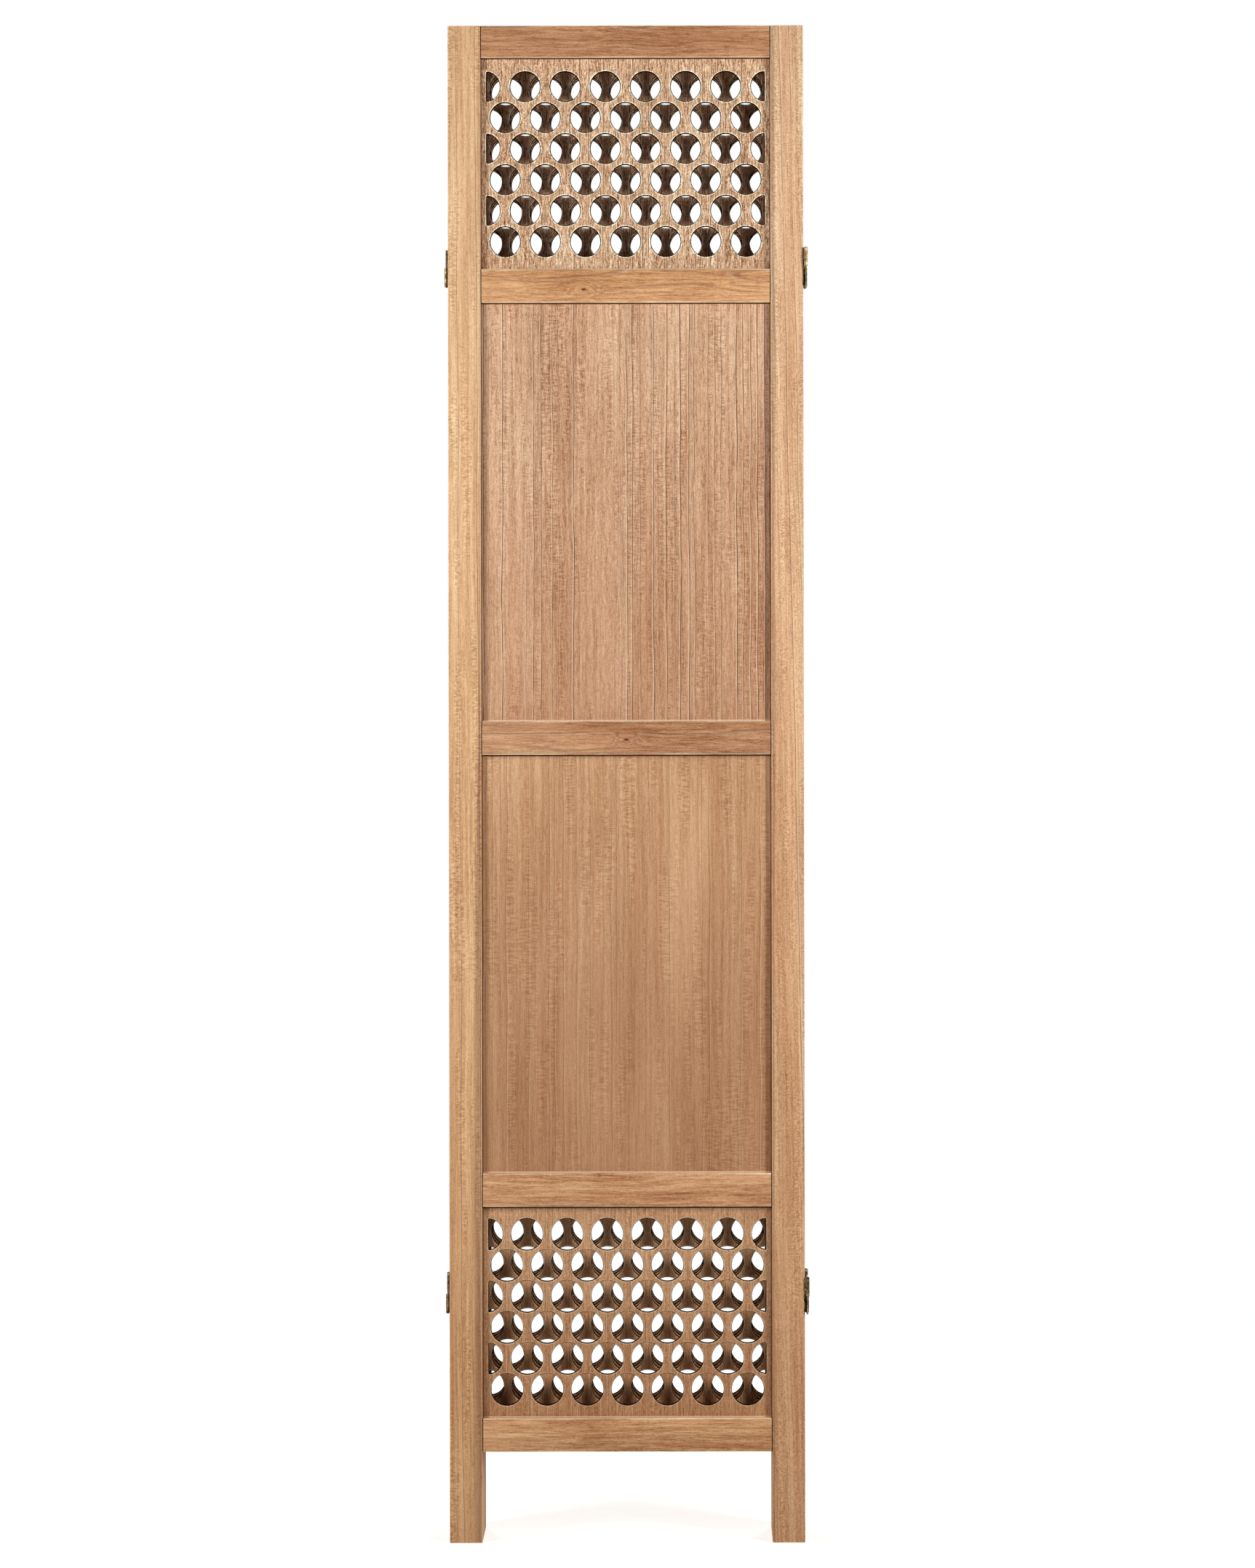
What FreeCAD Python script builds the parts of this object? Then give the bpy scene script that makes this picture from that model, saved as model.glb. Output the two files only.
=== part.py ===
import FreeCAD, Part
import math
import os

# Folding screen of framed panels, with pierced jali boards above and below two plain boards.
# Millimetres, +Z up. It stands folded up as a stack, with panel 1 in front facing -Y.
# The origin is on the floor under the middle of the folded stack.

# Screen
panel_count = 4
panel_width = 398.0
panel_height = 1700.0
frame_thickness = 18.0
folded_gap = 2.0

# Frame
stile_width = 36.5
top_rail_height = 36.0
rail_height = 37.5
leg_height = 102.0
jali_opening_height = 237.0
edge_ease = 1.0

# Grooves, and the tongues and boards that they hold
groove_depth = 8.0
groove_stop = 10.0
tongue_length = 7.5
board_thickness = 6.0
board_play = 0.1
board_edge_play = 1.0

# Round holes of a jali board, in rows that stand half a hole apart
hole_diameter = 35.5
web_along_row = 9.7
web_between_rows = 6.0
jali_side_margin = 7.0
jali_end_margin = 12.0
cut_hole_corner = 1.5

# Both-ways hinges, with one pin ahead of the panel's front face and one behind its rear face
lower_hinge_from_floor = 276.0
upper_hinge_from_top = 270.0
hinge_length = 42.0
edge_to_pin = 3.0
pin_diameter = 2.0
pin_clearance = 0.04
pin_grip = 0.01
pin_head_diameter = 3.2
pin_head_height = 0.6
pin_head_clearance = 0.1
leaf_thickness = 1.1
leaf_width = 14.0
leaf_corner = 2.0
leaf_knuckle_length = 13.6
knuckle_gap = 0.2
half_way_gap = 0.3
recess_play = 0.15
link_thickness = 1.6
link_clearance = 0.5
link_corner = 1.5

# Countersunk screws of the hinge leaves
screw_diameter = 2.6
screw_length = 12.0
screw_tip_length = 2.5
screw_tip_diameter = 0.5
screw_clearance = 0.03
screw_spacing = 26.0
screw_slot_width = 0.6
screw_slot_depth = 0.5

# How far a cut runs past what it cuts
overrun = 5.0

# Worked out from the sizes above
half_width = panel_width / 2
opening_width = panel_width - 2 * stile_width
rails_height = top_rail_height + 4 * rail_height
plain_opening_height = (panel_height - leg_height - rails_height - 2 * jali_opening_height) / 2
groove_width = board_thickness + 2 * board_play
mid_depth = frame_thickness / 2
panel_pitch = frame_thickness + folded_gap

hole_radius = hole_diameter / 2
column_pitch = hole_diameter + web_along_row
row_pitch = math.sqrt((hole_diameter + web_between_rows) ** 2 - (column_pitch / 2) ** 2)
pierced_width = opening_width - 2 * jali_side_margin
pierced_height = jali_opening_height - 2 * jali_end_margin
column_count = int((pierced_width - hole_diameter) / column_pitch) + 1
row_count = int((pierced_height - hole_diameter) / row_pitch) + 1

hinge_heights = [lower_hinge_from_floor, panel_height - upper_hinge_from_top]
pin_ahead = folded_gap / 2
pin_radius = pin_diameter / 2
bore_radius = pin_radius + pin_clearance
knuckle_radius = bore_radius + leaf_thickness
half_hinge = hinge_length / 2
leaf_knuckle_foot = half_hinge - leaf_knuckle_length
link_knuckle_foot = half_way_gap / 2
link_knuckle_top = leaf_knuckle_foot - knuckle_gap
screw_head_diameter = screw_diameter + 2 * leaf_thickness

front_of_stack = -pin_ahead - knuckle_radius
back_of_stack = (panel_count - 1) * panel_pitch + frame_thickness
stack_middle = (front_of_stack + back_of_stack) / 2


def vector(x, y, z):
    return FreeCAD.Vector(x, y, z)


def block(x_range, y_range, z_range):
    """A box between two places along each axis."""
    low = vector(min(x_range), min(y_range), min(z_range))
    high = vector(max(x_range), max(y_range), max(z_range))
    size = high - low
    return Part.makeBox(size.x, size.y, size.z, low)


def upright(radius, x, y, z_range):
    """A cylinder along Z."""
    foot, top = min(z_range), max(z_range)
    return Part.makeCylinder(radius, top - foot, vector(x, y, foot), vector(0, 0, 1))


def edges_along(shape, axis, test):
    """The straight edges of a shape that run along an axis and pass a test of their middle point."""
    found = []
    for edge in shape.Edges:
        if isinstance(edge.Curve, Part.Line):
            along = edge.tangentAt(edge.FirstParameter)
            if abs(along.dot(axis)) > math.cos(math.radians(1)) and test(edge.CenterOfMass):
                found.append(edge)
    return found


# Rails and openings, from the floor up


def opening_heights():
    """The foot and the top of each opening, keyed by its board."""
    spans = {}
    foot = leg_height + rail_height
    order = ["bottom_jali", "lower_board", "upper_board", "top_jali"]
    sizes = [jali_opening_height, plain_opening_height, plain_opening_height, jali_opening_height]
    for name, size in zip(order, sizes):
        spans[name] = (foot, foot + size)
        foot += size + rail_height
    return spans


def rail_heights():
    """The foot and the top of each rail, keyed by its name."""
    openings = opening_heights()
    return {
        "bottom_rail": (leg_height, openings["bottom_jali"][0]),
        "lower_rail": (openings["bottom_jali"][1], openings["lower_board"][0]),
        "middle_rail": (openings["lower_board"][1], openings["upper_board"][0]),
        "upper_rail": (openings["upper_board"][1], openings["top_jali"][0]),
        "top_rail": (openings["top_jali"][1], panel_height),
    }


# Wood


def groove(x_range, z_range):
    """The room that a groove takes in the middle of the frame's thickness."""
    y_range = (mid_depth - groove_width / 2, mid_depth + groove_width / 2)
    return block(x_range, y_range, z_range)


def stile(side, hinge_sides):
    """A stile, grooved along its inner edge, with recesses for the leaves if its outer edge has hinges."""
    outer = side * half_width
    inner = side * opening_width / 2
    wood = block((outer, inner), (0, frame_thickness), (0, panel_height))
    arrises = edges_along(wood, vector(0, 0, 1), lambda middle: abs(middle.x - outer) < edge_ease)
    wood = wood.makeChamfer(edge_ease, arrises)
    held = (leg_height + groove_stop, panel_height - groove_stop)
    cuts = [groove((inner - side * overrun, inner + side * groove_depth), held)]
    if side in hinge_sides:
        for height in hinge_heights:
            cuts += [on_edge(room, side, 1, height) for room in hinge_room()]
    return wood.cut(cuts)


def hinge_room():
    """The recess that a leaf takes in a stile, and the holes that its screws take."""
    depth_range = (-overrun, leaf_width + recess_play)
    length_range = (-half_hinge - recess_play, half_hinge + recess_play)
    return [block((-leaf_thickness, overrun), depth_range, length_range)] + screw_holes()


def rail(z_range, grooved_below, grooved_above, tongue_range):
    """A rail between the stiles, with a stub tongue at each end and a groove for each board that it holds."""
    foot, top = z_range
    half_opening = opening_width / 2
    wood = block((-half_opening, half_opening), (0, frame_thickness), z_range)
    reach = half_opening + tongue_length
    wood = wood.fuse(groove((-reach, reach), tongue_range)).removeSplitter()
    if grooved_below:
        wood = wood.cut(groove((-reach - overrun, reach + overrun), (foot - overrun, foot + groove_depth)))
    if grooved_above:
        wood = wood.cut(groove((-reach - overrun, reach + overrun), (top - groove_depth, top + overrun)))
    return wood


def rails():
    """The five rails of a panel. The outermost tongues stop short of the frame's open edges."""
    pieces = {}
    for name, (foot, top) in rail_heights().items():
        lowest, highest = name == "bottom_rail", name == "top_rail"
        tongue_foot = foot + groove_stop if lowest else foot
        tongue_top = top - groove_stop if highest else top
        pieces[name] = rail((foot, top), not lowest, not highest, (tongue_foot, tongue_top))
    return pieces


def board_outline(opening):
    """The sides, foot and top of a board, which rests in the groove below and has play in the other three."""
    held = groove_depth - board_edge_play
    return opening_width / 2 + held, opening[0] - groove_depth, opening[1] + held


def board_from(face):
    """A board as thick as the groove takes, from its front face drawn at the front of the panel."""
    face.translate(vector(0, mid_depth - board_thickness / 2, 0))
    return face.extrude(vector(0, board_thickness, 0))


def outline_wire(opening):
    side, foot, top = board_outline(opening)
    corners = [vector(-side, 0, foot), vector(side, 0, foot), vector(side, 0, top), vector(-side, 0, top)]
    return Part.makePolygon(corners + corners[:1])


def plain_board(opening):
    return board_from(Part.Face(outline_wire(opening)))


def round_hole(x, z):
    circle = Part.Circle(vector(x, 0, z), vector(0, 1, 0), hole_radius)
    return Part.Wire([circle.toShape()])


def cut_hole(x, z):
    """A round hole cut off by an upright line at the pierced field's side, with its two corners rounded."""
    side = math.copysign(1, x)
    line = pierced_width / 2 - abs(x)
    rise = math.sqrt((hole_radius - cut_hole_corner) ** 2 - (line - cut_hole_corner) ** 2)
    turn = math.atan2(rise, line - cut_hole_corner)

    def place(across, up):
        return vector(x + side * across, 0, z + up)

    def on_corner(angle, up):
        across = line - cut_hole_corner + cut_hole_corner * math.cos(angle)
        return place(across, up * (rise + cut_hole_corner * math.sin(angle)))

    touch_up = place(hole_radius * math.cos(turn), hole_radius * math.sin(turn))
    touch_down = place(hole_radius * math.cos(turn), -hole_radius * math.sin(turn))
    return Part.Wire(
        [
            Part.Arc(touch_up, place(-hole_radius, 0), touch_down).toShape(),
            Part.Arc(touch_down, on_corner(turn / 2, -1), on_corner(0, -1)).toShape(),
            Part.LineSegment(on_corner(0, -1), on_corner(0, 1)).toShape(),
            Part.Arc(on_corner(0, 1), on_corner(turn / 2, 1), touch_up).toShape(),
        ]
    )


def jali_board(opening, shifted_parity):
    """A pierced board. Rows of the shifted parity stand half a hole over and are cut at both sides."""
    middle = (opening[0] + opening[1]) / 2
    holes = []
    for row in range(row_count):
        z = middle + (row - (row_count - 1) / 2) * row_pitch
        count = column_count + 1 if row % 2 == shifted_parity else column_count
        for column in range(count):
            x = (column - (count - 1) / 2) * column_pitch
            reaches_line = abs(x) + hole_radius > pierced_width / 2
            holes.append(cut_hole(x, z) if reaches_line else round_hole(x, z))
    board = Part.Face(outline_wire(opening))
    return board_from(board.cut(Part.makeCompound([Part.Face(hole) for hole in holes])).Faces[0])


# Hinges, drawn on the right edge of a panel: x outward from the edge, y back from the panel's front face,
# z up from the hinge's middle, with the front pin in the upper half.


def on_edge(shape, side, front_pin_up, height):
    """The shape on a panel's edge, mirrored for the left side, and for a front pin in the lower half."""
    placed = shape
    if side < 0:
        placed = placed.mirror(vector(0, 0, 0), vector(1, 0, 0))
    if front_pin_up < 0:
        placed = placed.mirror(vector(0, 0, 0), vector(0, 0, 1))
    placed = placed.copy()
    placed.translate(vector(side * half_width, 0, height))
    return placed


def screw_places():
    return [-screw_spacing / 2, screw_spacing / 2]


def screw_depth():
    """How far back from the panel's front face a leaf's screws stand."""
    strap_back = knuckle_radius - pin_ahead
    return (strap_back + leaf_width) / 2


def screw_holes():
    holes = [screw_body(screw_clearance) for _ in screw_places()]
    for hole, z in zip(holes, screw_places()):
        hole.translate(vector(0, screw_depth(), z))
    return holes


def screw_body(allowance):
    """A countersunk screw without its slot, or with an allowance the hole that it goes into."""
    inward = vector(-1, 0, 0)
    head_radius = screw_head_diameter / 2 + allowance
    shank_radius = screw_diameter / 2 + allowance
    tip_start = screw_length - screw_tip_length
    head = Part.makeCone(head_radius, shank_radius, leaf_thickness, vector(0, 0, 0), inward)
    shank = Part.makeCylinder(shank_radius, tip_start, vector(0, 0, 0), inward)
    tip_radius = screw_tip_diameter / 2 + allowance
    tip_length = screw_length - tip_start + allowance
    tip = Part.makeCone(shank_radius, tip_radius, tip_length, vector(-tip_start, 0, 0), inward)
    return head.fuse([shank, tip]).removeSplitter()


def screw():
    slot_half = screw_slot_width / 2
    slot = block((-screw_slot_depth, overrun), (-overrun, overrun), (-slot_half, slot_half))
    return screw_body(0).cut(slot)


def leaf():
    """A leaf on the panel's edge, bent outward at the front face and rolled round the front pin."""
    strap_back = knuckle_radius - pin_ahead
    strap_front = strap_back - leaf_thickness
    knuckle_range = (leaf_knuckle_foot, half_hinge)
    plate = block((-leaf_thickness, 0), (strap_front, leaf_width), (-half_hinge, half_hinge))
    rear_corners = edges_along(plate, vector(1, 0, 0), lambda middle: middle.y > leaf_width - leaf_corner)
    plate = plate.makeFillet(leaf_corner, rear_corners)
    strap = block((-leaf_thickness, edge_to_pin), (strap_front, strap_back), knuckle_range)
    barrel = upright(knuckle_radius, edge_to_pin, -pin_ahead, knuckle_range)
    body = plate.fuse([strap, barrel]).removeSplitter()
    corner_x = -leaf_thickness
    bend = edges_along(
        body,
        vector(0, 0, 1),
        lambda middle: abs(middle.x - corner_x) < leaf_thickness / 2 and middle.y < strap_back,
    )
    body = body.makeFillet(leaf_thickness / 2, bend)
    bore = upright(bore_radius, edge_to_pin, -pin_ahead, (-half_hinge - overrun, half_hinge + overrun))
    return body.cut([bore] + screw_holes())


def link():
    """A link plate with one knuckle on the front pin, above its middle, and one on the rear pin, below it."""
    rear_pin = frame_thickness + pin_ahead
    x_range = (edge_to_pin - link_thickness / 2, edge_to_pin + link_thickness / 2)
    plate_front = knuckle_radius - pin_ahead + link_clearance
    plate_back = rear_pin - knuckle_radius - link_clearance
    plate = block(x_range, (plate_front, plate_back), (-half_hinge, half_hinge))
    corners = edges_along(plate, vector(1, 0, 0), lambda middle: True)
    plate = plate.makeFillet(link_corner, corners)
    front_range = (link_knuckle_foot, link_knuckle_top)
    rear_range = (-link_knuckle_top, -link_knuckle_foot)
    webs = [
        block(x_range, (-pin_ahead, plate_front), front_range),
        block(x_range, (plate_back, rear_pin), rear_range),
        upright(knuckle_radius, edge_to_pin, -pin_ahead, front_range),
        upright(knuckle_radius, edge_to_pin, rear_pin, rear_range),
    ]
    body = plate.fuse(webs).removeSplitter()
    grip_radius = pin_radius + pin_grip
    bores = [upright(grip_radius, edge_to_pin, y, (-half_hinge, half_hinge)) for y in (-pin_ahead, rear_pin)]
    return body.cut(bores)


def hinge_pins():
    """The front and the rear pin of a hinge, each with an eased head at its outer end."""
    pins = []
    for y, up in ((-pin_ahead, 1), (frame_thickness + pin_ahead, -1)):
        head_foot = up * (half_hinge + pin_head_clearance)
        head_top = head_foot + up * pin_head_height
        shank = upright(pin_radius, edge_to_pin, y, (up * link_knuckle_foot, head_foot))
        head = upright(pin_head_diameter / 2, edge_to_pin, y, (head_foot, head_top))
        rims = [edge for edge in head.Edges if isinstance(edge.Curve, Part.Circle)]
        outer_rim = max(rims, key=lambda rim: up * rim.CenterOfMass.z)
        head = head.makeChamfer(pin_head_height / 2, [outer_rim])
        pins.append(shank.fuse(head).removeSplitter())
    return pins


# Assembly


def in_stack(shape, panel):
    """A piece of a panel, moved back to that panel's place in the folded stack."""
    placed = shape.copy()
    placed.translate(vector(0, (panel - 1) * panel_pitch - stack_middle, 0))
    return placed


def connections():
    """Each pair of joined panels: its front panel, its side, and 1 or -1 for a front pin above or below the rear.

    Two links that follow each other on one side are of opposite hand, so that their knuckles pass each other
    when only one of them opens.
    """
    found = []
    for panel in range(1, panel_count):
        side = 1 if panel % 2 else -1
        found.append((panel, side, 1 if panel % 4 < 2 else -1))
    return found


def hinged_edges():
    """Each edge that has leaves: its panel, its side, and 1 or -1 for a knuckle above or below the middle."""
    edges = []
    for front_panel, side, front_pin_up in connections():
        edges.append((front_panel, side, front_pin_up))
        edges.append((front_panel + 1, side, -front_pin_up))
    return edges


def panel_pieces(panel):
    """The wooden pieces of a panel. Only panel 1 has its jali boards with the wider rows at the other end."""
    hinge_sides = [side for number, side, _ in hinged_edges() if number == panel]
    openings = opening_heights()
    shifted_parity = (row_count - 1) % 2 if panel == 1 else row_count % 2
    pieces = {"left_stile": stile(-1, hinge_sides), "right_stile": stile(1, hinge_sides)}
    pieces.update(rails())
    for name in ("top_jali", "bottom_jali"):
        pieces[name] = jali_board(openings[name], shifted_parity)
    for name in ("upper_board", "lower_board"):
        pieces[name] = plain_board(openings[name])
    return pieces


def hinge_pieces():
    """The leaves and screws of each panel, and the links and pins between the panels."""
    pieces = {}
    for panel, side, knuckle_up in hinged_edges():
        edge_name = "right" if side > 0 else "left"
        leaves = pieces.setdefault(f"panel_{panel}_{edge_name}_leaves", [])
        screws = pieces.setdefault(f"panel_{panel}_hinge_screws", [])
        for height in hinge_heights:
            leaves.append(in_stack(on_edge(leaf(), side, knuckle_up, height), panel))
            for z in screw_places():
                one = screw()
                one.translate(vector(0, screw_depth(), z))
                screws.append(in_stack(on_edge(one, side, 1, height), panel))
    for panel, side, front_pin_up in connections():
        links = pieces.setdefault(f"hinge_links_{panel}_{panel + 1}", [])
        pins = pieces.setdefault(f"hinge_pins_{panel}_{panel + 1}", [])
        for height in hinge_heights:
            links.append(in_stack(on_edge(link(), side, front_pin_up, height), panel))
            for pin in hinge_pins():
                pins.append(in_stack(on_edge(pin, side, front_pin_up, height), panel))
    return pieces


def main():
    os.makedirs("parts", exist_ok=True)
    nodes = hinge_pieces()
    for panel in range(1, panel_count + 1):
        for name, shape in panel_pieces(panel).items():
            nodes[f"panel_{panel}_{name}"] = [in_stack(shape, panel)]
    for name, solids in nodes.items():
        shape = solids[0] if len(solids) == 1 else Part.makeCompound(solids)
        shape.exportStep(f"parts/{name}.step")
    print(len(nodes), "nodes;", column_count, "columns and", row_count, "rows of holes")


main()
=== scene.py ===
"""Carved jali folding screen: the wood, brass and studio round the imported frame."""

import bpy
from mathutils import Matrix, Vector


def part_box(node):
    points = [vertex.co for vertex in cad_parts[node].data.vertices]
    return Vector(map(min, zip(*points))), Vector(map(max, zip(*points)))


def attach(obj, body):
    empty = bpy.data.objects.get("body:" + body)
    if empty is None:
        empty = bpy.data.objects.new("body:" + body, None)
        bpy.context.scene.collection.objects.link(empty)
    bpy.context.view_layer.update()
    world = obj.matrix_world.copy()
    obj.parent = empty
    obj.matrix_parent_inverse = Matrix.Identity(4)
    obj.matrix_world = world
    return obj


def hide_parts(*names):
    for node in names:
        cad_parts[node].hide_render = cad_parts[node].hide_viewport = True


bl_info = {
    "name": "Carved jali screen",
    "version": (1, 0, 0),
    "blender": (4, 5, 0),
    "location": "3D Viewport > Sidebar > Jali screen",
    "description": "Models and finishes the pieces of a folding screen with pierced jali boards",
    "category": "Object",
}

import math

import bpy
from bpy.props import FloatProperty, FloatVectorProperty, IntProperty, PointerProperty
from mathutils import Vector

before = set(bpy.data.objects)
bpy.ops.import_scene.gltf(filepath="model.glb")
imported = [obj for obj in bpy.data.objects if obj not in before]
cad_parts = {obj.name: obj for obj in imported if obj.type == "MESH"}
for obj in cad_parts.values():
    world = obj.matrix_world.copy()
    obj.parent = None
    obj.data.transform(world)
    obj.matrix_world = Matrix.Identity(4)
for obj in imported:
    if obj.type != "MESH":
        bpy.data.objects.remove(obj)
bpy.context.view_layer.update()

PANELS = range(1, 5)
FRONT_PANEL = PANELS[0]
SIDES = ("left", "right")
RAILS = ("top", "upper", "middle", "lower", "bottom")
JALIS = ("top", "bottom")
PLAIN_BOARDS = ("upper", "lower")

MM = 0.001

# The photograph's frame, and where the camera's axis and the front panel's edges lie in it
PHOTO_WIDTH_PX = 1725
PHOTO_HEIGHT_PX = 2156
AXIS_X_PX = 945
AXIS_Y_PX = 875
PANEL_LEFT_PX = 616.4
PANEL_RIGHT_PX = 1104.9
PANEL_TOP_PX = 34.8
SENSOR_HEIGHT_MM = 36


def from_srgb(red, green, blue):
    """A colour as it looks on a screen, 0 to 255, as the linear colour that shaders take."""
    linear = []
    for value in (red, green, blue):
        share = value / 255
        linear.append(share / 12.92 if share <= 0.04045 else ((share + 0.055) / 1.055) ** 2.4)
    return tuple(linear)


def length(name, description, default):
    return FloatProperty(
        name=name, description=description, default=default, min=0, unit="LENGTH", precision=4
    )


def power(name, description, default):
    return FloatProperty(name=name, description=description, default=default, min=0, unit="POWER")


def strength(name, description, default):
    return FloatProperty(name=name, description=description, default=default, min=0)


def colour(name, description, red, green, blue):
    return FloatVectorProperty(
        name=name, description=description, default=from_srgb(red, green, blue), subtype="COLOR", min=0, max=1
    )


class JaliSizes(bpy.types.PropertyGroup):
    """The pattern of holes, and how far the edges of the wood are eased."""

    hole: length("Hole", "Diameter of the round holes inside their eased rims", 35.8 * MM)
    rim_ease: length("Rim ease", "How far the rims of the holes are sanded back", 1.3 * MM)
    front_hole: length("Front hole", "Diameter of the holes in the front panel's top board", 33.2 * MM)
    front_rim_ease: length("Front rim ease", "The deeper easing of the front panel's top board", 1.9 * MM)
    column_pitch: length("Column pitch", "From hole to hole along a row", 45.0 * MM)
    row_pitch: length("Row pitch", "From row to row", 34.8 * MM)
    side_margin: length("Side margin", "Wood between the stile and the pierced field", 7 * MM)
    end_margin: length("End margin", "Least wood between a rail and the pierced field", 12 * MM)
    cut_corner: length("Cut corner", "Radius of the corners of a hole that is cut off", 1.5 * MM)
    stile_ease: length("Stile ease", "How far the long edges of the stiles are eased", 0.8 * MM)
    rail_ease: length("Rail ease", "How far the long edges of the rails are eased", 1.0 * MM)
    groove_depth: length("Groove depth", "Depth of the grooves that hold boards and tongues", 8 * MM)
    groove_stop: length("Groove stop", "Wood left beyond the ends of a stile's groove", 10 * MM)
    tongue_length: length("Tongue length", "How far a rail's tongue goes into a stile", 7.5 * MM)
    board_play: length("Board play", "Room on each face of a board in its groove", 0.1 * MM)
    recess_play: length("Recess play", "Room round a hinge leaf in its recess", 0.15 * MM)
    hole_sides: IntProperty(
        name="Hole sides", description="Flats that make up a round hole", default=32, min=12
    )


class WoodColours(bpy.types.PropertyGroup):
    """The colours of the oiled hardwood, as they look in even light, and colours that paint shade, shadow and
    highlights on it.
    """

    left_stile: colour("Left stile", "Honey coloured left stiles", 222, 180, 138)
    right_stile: colour("Right stile", "Right stiles, paler and a little pink", 228, 190, 153)
    top_rail: colour("Top rail", "The darkest of the rails", 190, 140, 102)
    upper_rail: colour("Upper rail", "Warm orange-brown rail under the top jali board", 206, 155, 110)
    middle_rail: colour("Middle rail", "Brown rail between the plain boards", 190, 141, 104)
    lower_rail: colour("Lower rail", "Lighter rail above the bottom jali board", 211, 160, 118)
    bottom_rail: colour("Bottom rail", "Lighter rail at the legs", 211, 161, 117)
    upper_board: colour("Upper board", "Plain board, a little pink", 209, 168, 134)
    lower_board: colour("Lower board", "Plain board, browner", 207, 163, 123)
    top_jali: colour("Top jali board", "Pierced board, a little pink", 212, 174, 138)
    # Painted shade: top boards behind the front panel are darker and redder, for the shade in the folded
    # stack
    rear_jali: colour("Rear jali boards", "Redder top boards behind the front panel", 205, 162, 131)
    bottom_jali: colour("Bottom jali board", "Pierced board, browner", 203, 157, 116)
    heartwood: colour("Heartwood line", "Dark lines in the grain", 104, 60, 35)
    # Also the painted shade on a board beside the stiles, besides heartwood and knots
    stain_and_shade: colour("Stain", "Dark stain in corners and heartwood at edges", 98, 58, 42)
    # The rail's painted shadow over the dark gap where a board goes into the rail above it
    gap: colour("Gap", "Dark line where a board goes into the rail above it", 38, 23, 15)
    # Pale sanded wood with a painted highlight, on eased edges and hole rims
    worn_edge: colour("Worn edge", "Pale wood where edges and rims are sanded", 255, 236, 202)
    # Scorched wall of a cut hole, made near black as painted shade; the inner band of each sanded rim and the
    # rail joints take it too
    dark_wall_and_shade: colour("Cut wall", "Dark wall of a cut hole", 34, 21, 15)
    brass: colour("Brass", "Hinge leaves, links and pins", 122, 102, 66)
    tarnish: colour("Tarnish", "Brass that has gone dark", 40, 31, 21)


class StudioSettings(bpy.types.PropertyGroup):
    """Where the camera stands, and the light."""

    camera_distance: length("Camera distance", "From the front panel's face to the camera", 4.4)
    camera_roll: FloatProperty(
        name="Camera roll", description="How far the camera leans to its side", default=math.radians(0.096),
        subtype="ANGLE",
    )
    right_power: power("Right lamp", "Power of the tall soft lamp at the right", 33.5)
    left_power: power("Left lamp", "Power of the tall soft lamp at the left", 30.5)
    lamp_width: length("Lamp width", "Width of each tall lamp", 0.5)
    lamp_length: length("Lamp length", "Length of each tall lamp", 1.3)
    lamp_side: length("Lamp side", "How far each lamp stands to its side", 1.6)
    lamp_front: length("Lamp front", "How far each lamp stands before the screen", 1.12)
    lamp_height: length("Lamp height", "Height of the middle of each lamp", 1.38)
    rear_power: power("Rear lamps", "Power of each of the two tall lamps behind", 25.0)
    rear_side: length("Rear lamp side", "How far each lamp behind the screen stands to its side", 0.9)
    rear_back: length("Rear lamp back", "How far each of them stands behind the screen", 1.9)
    top_power: power("Top lamp", "Power of the narrow lamp overhead", 4.0)
    top_lamp_width: length("Top lamp width", "Its size from left to right", 0.6)
    top_lamp_depth: length("Top lamp depth", "Its size from front to back", 0.1)
    top_height: length("Top lamp height", "Height of the lamp overhead", 2.7)
    room_light: strength("Room light", "Even light from all sides", 0.035)
    floor: colour("Floor", "Plain pale floor", 200, 196, 190)
    floor_size: length("Floor size", "Length of the floor's sides", 30)
    floor_glow: strength("Floor glow", "Lifts the lit floor to white in the picture", 0.66)
    shadow_start: length("Shadow start", "How far out the floor's shading begins to fade", 0.6)
    shadow_reach: length("Shadow reach", "How far out the floor's shading has gone to white", 1.8)


# Modelling

SHARP_ANGLE = math.radians(40)
SMOOTH_ANGLE = math.radians(35)

# A piece's finishes, by number: its flat wood, its eased edges with their painted highlight, and the dark
# walls of its holes or joints, dark in the holes as painted shade
FLAT_FINISH, EASED_FINISH, DARK_FINISH = 0, 1, 2


def clear_selection():
    if bpy.context.object and bpy.context.object.mode != "OBJECT":
        bpy.ops.object.mode_set(mode="OBJECT")
    bpy.ops.object.select_all(action="DESELECT")


def pick(piece):
    """Makes a piece the only one selected, and the active one."""
    clear_selection()
    piece.select_set(True)
    bpy.context.view_layer.objects.active = piece


def settle(piece):
    """Puts a piece's place, turn and size into its mesh, and leaves its origin in the frame's."""
    pick(piece)
    bpy.ops.object.transform_apply(location=True, rotation=True, scale=True)


def bar(name, low, high):
    """A block of wood between two corners, ready to be shaped."""
    clear_selection()
    low, high = Vector(low), Vector(high)
    bpy.ops.mesh.primitive_cube_add(size=1, location=(low + high) / 2, scale=high - low)
    piece = bpy.context.object
    piece.name = name
    settle(piece)
    return piece


def apply_modifier(piece, kind, **settings):
    """Adds a modifier to a piece and applies it."""
    pick(piece)
    modifier = piece.modifiers.new(kind.title(), kind)
    for name, value in settings.items():
        setattr(modifier, name, value)
    bpy.ops.object.modifier_apply(modifier=modifier.name)


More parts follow.
